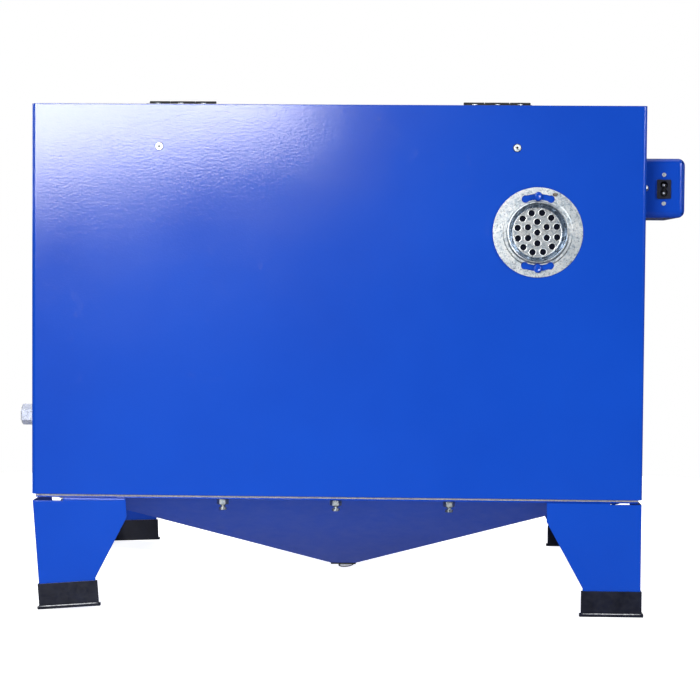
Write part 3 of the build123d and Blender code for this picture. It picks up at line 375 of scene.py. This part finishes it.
def studio():
    """White floor and backdrop, and five area lights."""
    mesh = bpy.data.meshes.new("floor")
    shape = bmesh.new()
    bmesh.ops.create_circle(shape, cap_ends=True, segments=96, radius=1.1)
    shape.to_mesh(mesh)
    shape.free()
    floor = bpy.data.objects.new("floor", mesh)
    bpy.context.scene.collection.objects.link(floor)
    pale = bpy.data.materials.new("floor")
    pale.use_nodes = True
    shader = pale.node_tree.nodes["Principled BSDF"]
    for socket, value in (("Base Color", (0.8, 0.8, 0.8, 1)), ("Roughness", 0.9), ("Specular IOR Level", 0.1),
                          ("Emission Color", (1, 1, 1, 1))):
        shader.inputs[socket].default_value = value
    seen_or_not(pale.node_tree, 0.35, 0.85, shader.inputs["Emission Strength"])
    mesh.materials.append(pale)
    floor.visible_glossy = False

    world = bpy.data.worlds.new("studio")
    bpy.context.scene.world = world
    world.use_nodes = True
    sky = world.node_tree.nodes["Background"]
    sky.inputs["Color"].default_value = (1, 1, 1, 1)
    seen_or_not(world.node_tree, 0.05, 1.0, sky.inputs["Strength"])

    # key softbox, rolled so that the edge of its reflection falls across a top corner of the back panel
    roll = math.radians(10.6)
    along = Vector((math.cos(roll), 0, -math.sin(roll)))
    rise = Vector((math.sin(roll), 0, math.cos(roll)))
    wide, high, radiance = 1.0, 0.75, 22
    corner = Vector((0.14, REAR_Y + 2.2, 0.626))
    area_light("key", corner + along * wide / 2 + rise * high / 2, (wide, high), radiance,
               turn=Matrix((-along, rise, Vector((0, 1, 0)))).transposed())
    area_light("fill", (-2.3, 1.9, 1.36), (0.6, 1.6), 15, target=(0, 0.2, 0.3))
    area_light("top", (0, -0.4, 2.8), (2.8, 2.4), 1.0, target=(0, 0, 0.2))
    area_light("side", (2.4, -0.9, 1.1), (1.2, 1.4), 7, target=(0, 0, 0.25))
    area_light("front", (0.6, -2.6, 1.5), (2.4, 1.6), 4, target=(0, 0, 0.3))


studio()
bpy.context.scene.view_settings.view_transform = "Standard"


# ---- pieces ---------------------------------------------------------------------------------------------
def piece(name, verts, faces, body, slot, material=None):
    """Smooth mesh piece on a body, with its slot's look unless it has its own."""
    mesh = bpy.data.meshes.new(name)
    mesh.from_pydata([tuple(v) for v in verts], [], faces)
    mesh.polygons.foreach_set("use_smooth", [True] * len(mesh.polygons))
    mesh.materials.append(material or BY_SLOT[slot])
    obj = bpy.data.objects.new(name, mesh)
    bpy.context.scene.collection.objects.link(obj)
    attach(obj, body)
    return obj


def lathe(profile, centre, axis, segments=32, closed=True):
    """Vertices and faces of a profile of (radius, along) points turned about an axis."""
    axis = Vector(axis).normalized()
    side = axis.orthogonal().normalized()
    other = axis.cross(side)
    verts, faces = [], []
    for k in range(segments):
        angle = 2 * math.pi * k / segments
        spoke = side * math.cos(angle) + other * math.sin(angle)
        verts += [Vector(centre) + spoke * r + axis * h for r, h in profile]
    n = len(profile)
    for k in range(segments):
        a, b = k * n, (k + 1) % segments * n
        for i in range(n if closed else n - 1):
            j = (i + 1) % n
            faces.append((a + i, b + i, b + j, a + j))
    return verts, faces


def merged(shapes):
    """One list of vertices and one of faces from several shapes."""
    verts, faces = [], []
    for some_verts, some_faces in shapes:
        faces += [tuple(i + len(verts) for i in face) for face in some_faces]
        verts += some_verts
    return verts, faces


def in_mm(*outline):
    """Outline in metres from points in millimetres."""
    return [(r * MM, h * MM) for r, h in outline]


def ring_profile(radius, minor, steps=10):
    """Round section of a ring, both radii in millimetres."""
    turns = [2 * math.pi * k / steps for k in range(steps)]
    return [(radius * MM + minor * MM * math.cos(turn), minor * MM * math.sin(turn)) for turn in turns]


def middle(node):
    """Middle of a CAD node's box."""
    low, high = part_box(node)
    return (low + high) / 2


OUT = (0, 1, 0)
vent = middle("vent_cover")
strainer_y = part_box("vent_strainer")[1].y
HOLE_CIRCLES = ((0, 1, 0), (10.3, 6, 31), (19.4, 12, 17))  # radius in mm, holes, first angle in degrees
HOLE_R, HOLE_FIELD_R = 3.4, 23.4  # mm
LAMP_RIVET_X, LAMP_RIVET_Z = 171.5, 449.5  # mm, one on each side of the middle


def strainer_rims():
    """Burred rims that the punch left round the strainer's holes, and the bead round them all, in a brighter
    zinc than the strainer's: painted highlights on them.
    """
    rings = []
    for radius, count, first in HOLE_CIRCLES:
        for k in range(count):
            angle = math.radians(first + 360 * k / count)
            across, rise = radius * MM * math.cos(angle), radius * MM * math.sin(angle)
            spot = (vent.x - across, strainer_y, vent.z + rise)
            rings.append(lathe(ring_profile(HOLE_R, 0.42), spot, OUT, 24))
    rings.append(lathe(ring_profile(HOLE_FIELD_R, 0.55), (vent.x, strainer_y, vent.z), OUT, 96))
    # brighter zinc on the rims and bead: painted highlight
    piece("strainer_rims", *merged(rings), "vent", "zinc_plate",
          painted_light_look("rim_highlight_zinc", (0.86, 0.88, 0.90), (1.0, 1.0, 0.98), 0.8, 0.22))


def cup_band():
    """Rolled band on the inside of the vent's cup, coloured blue and blue-grey: painted reflection of the blue
    enamel round it.
    """
    outline = [(27.75, 3.3), (27.2, 1.6), (26.3, -1.6), (25.45, -4.3), (24.6, -5.4), (24.1, -6.2),
               (24.2, -6.5), (24.8, -5.7), (25.6, -4.55), (26.45, -1.75), (27.35, 1.45), (27.85, 3.2)]
    off_wall = 0.12
    profile = in_mm(*((r - off_wall, h) for r, h in outline))
    # blue colour on the band: painted reflection of the blue enamel
    piece("cup_band", *lathe(profile, (vent.x, REAR_Y, vent.z), OUT, 96), "vent", "zinc_plate",
          painted_light_look("blue_reflection_zinc", (0.20, 0.30, 0.45), (0.42, 0.52, 0.66), 1.0, 0.2))


def rivet_trim():
    """Dark mandrels in the lamp rivets, black also as painted shade in the rivets' holes, and thin dark rings
    under the heads: painted shadow round each rivet.
    """
    # black mandrel nearly fills the rivet's hole: the mandrel, and painted shade in the hole
    mandrel_and_shade = in_mm((0.01, 0.75), (0.7, 0.65), (1.15, 0.2), (1.15, 0))
    # dark ring round each rivet head: painted shadow
    shadow_ring = in_mm((3.3, 0.05), (3.3, 0.35), (3.9, 0.3), (4.05, 0.05))
    spots = [(x * MM, REAR_Y, LAMP_RIVET_Z * MM) for x in (-LAMP_RIVET_X, LAMP_RIVET_X)]
    mandrels_and_shade = [lathe(mandrel_and_shade, spot, OUT, 16, closed=False) for spot in spots]
    shadow_rings = [lathe(shadow_ring, spot, OUT, 32) for spot in spots]
    piece("rivet_mandrels_and_shade", *merged(mandrels_and_shade), "cabinet", "black_steel")
    piece("rivet_shadow_rings", *merged(shadow_rings), "cabinet", "black_steel")


def inlet_pins():
    """Plated pins inside the power inlet, with turned tips."""
    low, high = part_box("power_inlet")
    sunk, half_pitch = 2.6 * MM, 3.9 * MM
    profile = in_mm((1.3, -7.5), (1.3, 0), (1.1, 0.5), (0.6, 1.0), (0.01, 1.15))
    pins = [lathe(profile, ((low.x + high.x) / 2, high.y - sunk, (low.z + high.z) / 2 + shift), OUT, 20,
                  closed=False) for shift in (-half_pitch, half_pitch)]
    piece("inlet_pins", *merged(pins), "cabinet", "nickel_plate")


def box_rivet():
    """Domed rivet head on a washer, on the side wall between the back panel and the light box."""
    wall_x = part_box("side_panel_left")[0].x
    depth = 25 * MM
    spot = (wall_x, REAR_Y - depth, middle("power_inlet").z)
    profile = in_mm((4.1, -0.1), (4.1, 1.0), (3.8, 1.3), (3.1, 1.3), (3.1, 2.6), (2.7, 3.6), (1.9, 4.3),
                    (0.9, 4.6), (0.01, 4.7))
    piece("box_rivet", *lathe(profile, spot, (-1, 0, 0), 28, closed=False), "cabinet", "zinc_plate")


def stud_caps():
    """Crowned paint-filled faces of the studs that hold the vent."""
    low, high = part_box("vent_studs")
    head_r = 3.7 * MM
    profile = in_mm((3.72, -0.7), (3.72, 0), (3.3, 0.45), (2.3, 0.6), (1.9, 0.35), (0.01, 0.3))
    caps = [lathe(profile, ((low.x + high.x) / 2, high.y, z), OUT, 32, closed=False)
            for z in (low.z + head_r, high.z - head_r)]
    piece("stud_caps", *merged(caps), "cabinet", "stud_paint")


def vent_stain():
    """Small burnt mark on the vent's flange."""
    s = Shader("burnt_zinc")
    s.link(s.ramp(s.noise(900, 4, 0.7), (0.45, (0.02, 0.014, 0.012)), (0.7, (0.30, 0.26, 0.22))),
           "Base Color")
    s.link(s.ramp(s.noise(700, 2), (0.3, 0.5), (0.7, 0.8)), "Roughness")
    s.bump(s.noise(1500, 2), 0.0001)
    centre = Vector((vent.x - 16.1 * MM, REAR_Y + 1.33 * MM, vent.z + 36.2 * MM))
    half_wide, half_high, crown, around = 2.6 * MM, 1.7 * MM, 0.05 * MM, 28
    verts = [centre + Vector((0, crown, 0))]
    for k in range(around):
        c, n = math.cos(2 * math.pi * k / around), math.sin(2 * math.pi * k / around)
        size = 1.0 + 0.35 * noise.noise(Vector((c * 1.7, n * 1.7, 3.1)))
        verts.append(centre + Vector((-c * half_wide * size, 0, n * half_high * size)))
    faces = [(0, 1 + k, 1 + (k + 1) % around) for k in range(around)]
    piece("vent_stain", verts, faces, "vent", "zinc_plate", s.material)


PANEL_Y = 249.5  # mm, y of the back panel's outer face, where depth is zero
# depth, half width, half height and middle height of the glove's sections, from the ring to the roots of
# the fingers
GLOVE = ((464, 75.75, 75.75, 228), (438, 75.75, 75.75, 228), (385, 66, 66, 217), (310, 52, 50, 190),
         (240, 41, 36, 167), (190, 46, 23.5, 154), (160, 44, 21, 150.5), (140, 40, 17.5, 148.5))
# each finger's offset from the glove's middle and the depth of its tip
FINGERS = ((-28.5, 122), (-10, 109), (9.5, 108), (28, 118))


def clamp(share):
    """The share, kept between 0 and 1."""
    return min(1, max(0, share))


def glove_section(depth):
    """Half width, half height and middle height of the glove at a depth."""
    for (d0, *a), (d1, *b) in zip(GLOVE, GLOVE[1:]):
        if depth >= d1:
            share = (d0 - depth) / (d0 - d1)
            share = share * share * (3 - 2 * share)
            return [p + (q - p) * share for p, q in zip(a, b)]
    return GLOVE[-1][1:]


def tube_faces(rings, around):
    """Quads between the rings of a tube that is open at both ends."""
    faces = []
    for ring in range(rings - 1):
        for k in range(around):
            a, b = ring * around + k, ring * around + (k + 1) % around
            faces.append((a, b, b + around, a + around))
    return faces


def sleeve(x_mid):
    """Folded sleeve and squarish palm, closed at the fingers' roots."""
    around, verts = 96, []
    depths = [464 - 2.6 * k for k in range(125)]
    for depth in depths:
        wide, high, z_mid = glove_section(depth)
        # folds start behind the ring and are shallower on the palm
        folded = clamp((434 - depth) / 25) * (1 - 0.55 * clamp((215 - depth) / 40))
        close = 1.0 if depth > 150 else max(0.25, 1 - ((150 - depth) / 13.5) ** 2) ** 0.5
        for k in range(around):
            angle = 2 * math.pi * k / around
            c, n = math.cos(angle), math.sin(angle)
            wobble = 1.8 * noise.noise(Vector((c * 1.3, n * 1.3, depth / 60)))
            rings = 0.5 + 0.5 * math.sin(depth / 5.6 + wobble)
            folds = 0.5 + 0.5 * noise.noise(Vector((c * 2.2, n * 2.2, depth / 26 + x_mid)))
            r = 1 - folded * (0.085 * rings * folds + 0.05 * folds)
            square = (abs(c) ** 2.6 + abs(n) ** 2.6) ** (-1 / 2.6) if depth < 230 else 1
            verts.append(Vector((x_mid + wide * r * square * close * c, PANEL_Y - depth,
                                 z_mid + high * r * square * close * n)) * MM)
    end = tuple(range(len(verts) - around, len(verts)))
    return verts, tube_faces(len(depths), around) + [end]


def finger(start, bend, tip, root_r, tip_r):
    """Rounded tube along the curve that three points steer, all in mm, with creases at the joints."""
    steps, around, verts = 26, 20, []
    start, bend, tip = Vector(start), Vector(bend), Vector(tip)
    for i in range(steps + 1):
        t = i / steps
        spot = start * (1 - t) ** 2 + bend * (2 * t * (1 - t)) + tip * t * t
        ahead = ((bend - start) * (1 - t) + (tip - bend) * t).normalized()
        side = ahead.cross(Vector((0, 0, 1))).normalized()
        up = side.cross(ahead)
        crease = 1 - 0.06 * sum(math.exp(-((t - at) / 0.035) ** 2) for at in (0.42, 0.7))
        end = (1 - max(0, (t - 0.82) / 0.18) ** 2.2) ** 0.5 if t < 1 else 0.02
        r = (root_r + (tip_r - root_r) * t) * crease * end
        for k in range(around):
            angle = 2 * math.pi * k / around
            verts.append((spot + side * (r * math.cos(angle)) + up * (r * math.sin(angle))) * MM)
    return verts, tube_faces(steps + 1, around)


def glove(name, x_mid, thumb_side):
    """Gauntlet with a folded sleeve, a palm, four fingers and a thumb, hanging from its ring."""
    def spot(offset, depth, z):
        return x_mid + offset, PANEL_Y - depth, z

    shapes = [sleeve(x_mid)]
    for offset, tip_depth in FINGERS:
        tip = spot(offset * 0.82, tip_depth, 144.5)
        shapes.append(finger(spot(offset, 165, 150), spot(offset, 138, 149), tip, 9.6, 7.2))
    shapes.append(finger(spot(thumb_side * 30, 196, 155), spot(thumb_side * 43, 172, 152),
                         spot(thumb_side * 35, 146, 146), 10.5, 7.5))
    obj = piece(name + "_gauntlet", *merged(shapes), "cabinet", "glove_rubber")
    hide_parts(name)
    thick = obj.modifiers.new("thickness", "SOLIDIFY")
    thick.thickness = 1.5 * MM
    thick.offset = -1


def filter_mat():
    """Felted filter mat behind the strainer: crowned faces, soft edges and stray tufts."""
    low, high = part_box("vent_filter")
    shape = bmesh.new()
    bmesh.ops.create_cube(shape, size=1.0)
    bmesh.ops.subdivide_edges(shape, edges=shape.edges[:], cuts=22, use_grid_fill=True)
    size, centre = high - low, (high + low) / 2
    for v in shape.verts:
        u = v.co * 2
        edge = max(abs(u.x), abs(u.z))
        plump = 1 - 0.3 * edge ** 6 - 0.05 * noise.noise(Vector((u.x * 5, u.y, u.z * 5)))
        pull = 1 - 0.025 * abs(noise.noise(Vector((u.x * 3, u.y * 3, u.z * 3 + 7)))) - 0.012 * u.y ** 2
        v.co = centre + Vector((v.co.x * size.x * pull, v.co.y * size.y * min(1, plump),
                                v.co.z * size.z * pull))
    mesh = bpy.data.meshes.new("filter_mat")
    shape.to_mesh(mesh)
    shape.free()
    mesh.polygons.foreach_set("use_smooth", [True] * len(mesh.polygons))
    mesh.materials.append(BY_SLOT["filter_pad"])
    obj = bpy.data.objects.new("filter_mat", mesh)
    bpy.context.scene.collection.objects.link(obj)
    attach(obj, "cabinet")
    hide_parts("vent_filter")


def lip_highlight():
    """Painted highlight: a light, shiny line on the top edge of each foot cover's lip, where it is rubbed."""
    feet = frame["nodes"]["foot_covers"]
    corners = [feet.matrix_world @ v.co for v in feet.data.vertices]
    on_face, at_end, line_r, steps = 0.4 * MM, 1.2 * MM, 0.42 * MM, 24
    lines = []
    for side in (-1, 1):
        for end in (-1, 1):
            cover = [v for v in corners if v.x * side > 0 and v.y * end > 0]
            outer = max(v.y * end for v in cover)
            edge = [v for v in cover if v.y * end > outer - on_face]
            first, last = min(v.x for v in edge), max(v.x for v in edge)
            tips = [max((v for v in edge if abs(v.x - x) < at_end), key=lambda v: v.z) for x in (first, last)]
            line = tips[1] - tips[0]
            start, length = tips[0] + line * 0.03, line.length * 0.94
            profile = [(0.01 * MM, 0)]
            for k in range(1, steps):
                t = k / steps
                profile.append((line_r * min(1, 6 * t, 6 - 6 * t) ** 0.5, length * t))
            profile.append((0.01 * MM, length))
            lines.append(lathe(profile, start, line, 10, closed=False))
    # light grey line on black plastic: painted highlight
    piece("lip_highlight", *merged(lines), "cabinet", "black_plastic",
          painted_light_look("highlight_plastic", (0.30, 0.31, 0.34), (0.75, 0.76, 0.78), 0.0, 0.2))


strainer_rims()
cup_band()
lip_highlight()
rivet_trim()
inlet_pins()
box_rivet()
stud_caps()
vent_stain()
glove("glove_left", -130, 1)
glove("glove_right", 130, -1)
filter_mat()
